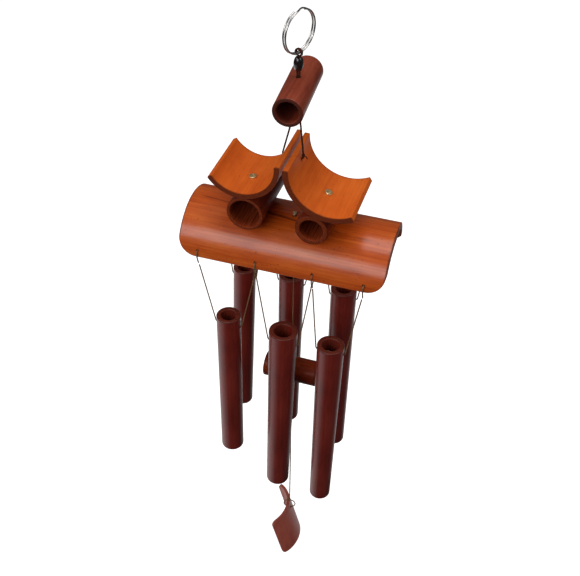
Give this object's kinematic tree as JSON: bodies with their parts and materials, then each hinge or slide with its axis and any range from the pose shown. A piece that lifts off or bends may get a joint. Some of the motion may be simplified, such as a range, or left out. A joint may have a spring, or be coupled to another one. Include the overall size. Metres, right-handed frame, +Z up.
{
  "type": "wind chime",
  "caption": "Bamboo wind chime: split ring, cord and top tube carry a half-round beam with two troughs, hanging tubes, a clapper tube and a curved sail.",
  "frame": {"origin": "point inside the top of the split ring where a hook or nail bears", "axes": "+Z up along the hanging line, +X along the roof beam to the right, -Y towards the front row of tubes"},
  "size_m": [0.155, 0.0896, 0.5388],
  "materials": {
    "nickel": "plated split ring",
    "dark_cord": "dark brown twisted cord",
    "black_bead": "gloss black",
    "stained_bamboo": "red-brown stained and varnished bamboo",
    "amber_bamboo": "amber varnished bamboo",
    "dark_bamboo": "dark mahogany stained bamboo",
    "sail_bamboo": "red-brown stained bamboo",
    "brass_screw": "brass",
    "twine": "thin tan twine",
    "toggle": "pale knot"
  },
  "bodies": {
    "ring": {"split_ring": "nickel"},
    "hook_loop": {"ring_loop": "dark_cord"},
    "hanger": {"hanger_cord": "dark_cord", "cord_bead": "black_bead", "tube_knot": "dark_cord", "wall_knot": "dark_cord"},
    "top": {"top_tube": "stained_bamboo"},
    "canopy": {"beam": "amber_bamboo", "left_support": "amber_bamboo", "right_support": "amber_bamboo", "left_trough": "amber_bamboo", "right_trough": "amber_bamboo", "trough_screws": "brass_screw", "support_screws": "brass_screw", "front_ties": "twine", "back_ties": "twine"},
    "hang_front_left": {"string_front_left": "twine"},
    "tube_front_left": {"chime_front_left": "dark_bamboo"},
    "hang_front_middle": {"string_front_middle": "twine"},
    "tube_front_middle": {"chime_front_middle": "dark_bamboo"},
    "hang_front_right": {"string_front_right": "twine"},
    "tube_front_right": {"chime_front_right": "dark_bamboo"},
    "hang_back_left": {"string_back_left": "twine"},
    "tube_back_left": {"chime_back_left": "dark_bamboo"},
    "hang_back_middle": {"string_back_middle": "twine"},
    "tube_back_middle": {"chime_back_middle": "dark_bamboo"},
    "hang_back_right": {"string_back_right": "twine"},
    "tube_back_right": {"chime_back_right": "dark_bamboo"},
    "crest": {"crest_knot": "toggle"},
    "striker_line": {"centre_string": "twine", "clapper_knot": "twine"},
    "striker": {"clapper": "dark_bamboo"},
    "sail_line": {"lower_string": "twine"},
    "sail_loop": {"sail_tie": "twine"},
    "sail": {"sail": "sail_bamboo"}
  },
  "joints": [
    {"name": "loop_swing", "type": "hinge", "parent": "ring", "child": "hook_loop", "pos_m": [0, 0, -0.0282], "axis": [0.3907, 0.9205, 0], "range_deg": [-30, 30]},
    {"name": "cord_twist", "type": "hinge", "parent": "hook_loop", "child": "hanger", "pos_m": [0, 0, -0.03], "axis": [0, 0, 1], "range_deg": [-90, 90]},
    {"name": "top_tube_turn", "type": "hinge", "parent": "hanger", "child": "top", "pos_m": [0, 0, -0.056], "axis": [0, 0, 1], "range_deg": [-90, 90]},
    {"name": "canopy_rock", "type": "hinge", "parent": "hanger", "child": "canopy", "pos_m": [0, 0, -0.1084], "axis": [1, 0, 0], "range_deg": [-15, 15]},
    {"name": "swing_front_left", "type": "hinge", "parent": "canopy", "child": "hang_front_left", "pos_m": [-0.0423, -0.0315, -0.1932], "axis": [1, 0, 0], "range_deg": [-20, 4]},
    {"name": "pivot_front_left", "type": "hinge", "parent": "hang_front_left", "child": "tube_front_left", "pos_m": [-0.0423, -0.0315, -0.2481], "axis": [1, 0, 0], "range_deg": [-15, 6]},
    {"name": "swing_front_middle", "type": "hinge", "parent": "canopy", "child": "hang_front_middle", "pos_m": [0.0013, -0.0315, -0.1932], "axis": [1, 0, 0], "range_deg": [-20, 4]},
    {"name": "pivot_front_middle", "type": "hinge", "parent": "hang_front_middle", "child": "tube_front_middle", "pos_m": [0.0013, -0.0315, -0.2546], "axis": [1, 0, 0], "range_deg": [-15, 6]},
    {"name": "swing_front_right", "type": "hinge", "parent": "canopy", "child": "hang_front_right", "pos_m": [0.0389, -0.0315, -0.1932], "axis": [1, 0, 0], "range_deg": [-20, 4]},
    {"name": "pivot_front_right", "type": "hinge", "parent": "hang_front_right", "child": "tube_front_right", "pos_m": [0.0389, -0.0315, -0.2527], "axis": [1, 0, 0], "range_deg": [-15, 6]},
    {"name": "swing_back_left", "type": "hinge", "parent": "canopy", "child": "hang_back_left", "pos_m": [-0.054, 0.0365, -0.1932], "axis": [1, 0, 0], "range_deg": [-6, 20]},
    {"name": "pivot_back_left", "type": "hinge", "parent": "hang_back_left", "child": "tube_back_left", "pos_m": [-0.054, 0.0365, -0.2566], "axis": [1, 0, 0], "range_deg": [-7, 15]},
    {"name": "swing_back_middle", "type": "hinge", "parent": "canopy", "child": "hang_back_middle", "pos_m": [-0.0135, 0.0365, -0.1932], "axis": [1, 0, 0], "range_deg": [-6, 20]},
    {"name": "pivot_back_middle", "type": "hinge", "parent": "hang_back_middle", "child": "tube_back_middle", "pos_m": [-0.0135, 0.0365, -0.2536], "axis": [1, 0, 0], "range_deg": [-7, 15]},
    {"name": "swing_back_right", "type": "hinge", "parent": "canopy", "child": "hang_back_right", "pos_m": [0.0305, 0.0365, -0.1932], "axis": [1, 0, 0], "range_deg": [-6, 20]},
    {"name": "pivot_back_right", "type": "hinge", "parent": "hang_back_right", "child": "tube_back_right", "pos_m": [0.0305, 0.0365, -0.2566], "axis": [1, 0, 0], "range_deg": [-7, 15]},
    {"name": "line_sway", "type": "hinge", "parent": "canopy", "child": "crest", "pos_m": [0, -0.002, -0.15538], "axis": [0, 1, 0], "range_deg": [-9, 9]},
    {"name": "line_swing", "type": "hinge", "parent": "crest", "child": "striker_line", "pos_m": [0, -0.002, -0.15538], "axis": [1, 0, 0], "range_deg": [-3, 6]},
    {"name": "clapper_turn", "type": "hinge", "parent": "striker_line", "child": "striker", "pos_m": [0, -0.002, -0.311], "axis": [0, 0, 1], "range_deg": [-15, 15]},
    {"name": "sail_line_swing", "type": "hinge", "parent": "striker_line", "child": "sail_line", "pos_m": [0, -0.002, -0.3234], "axis": [1, 0, 0], "range_deg": [-11, 25]},
    {"name": "sail_turn", "type": "hinge", "parent": "sail_line", "child": "sail_loop", "pos_m": [0, -0.002, -0.48595], "axis": [0, 0, 1], "range_deg": [-90, 90]},
    {"name": "sail_rock", "type": "hinge", "parent": "sail_loop", "child": "sail", "pos_m": [0, -0.002, -0.4965], "axis": [-0.1736, 0.9848, 0], "range_deg": [-7, 12]}
  ]
}
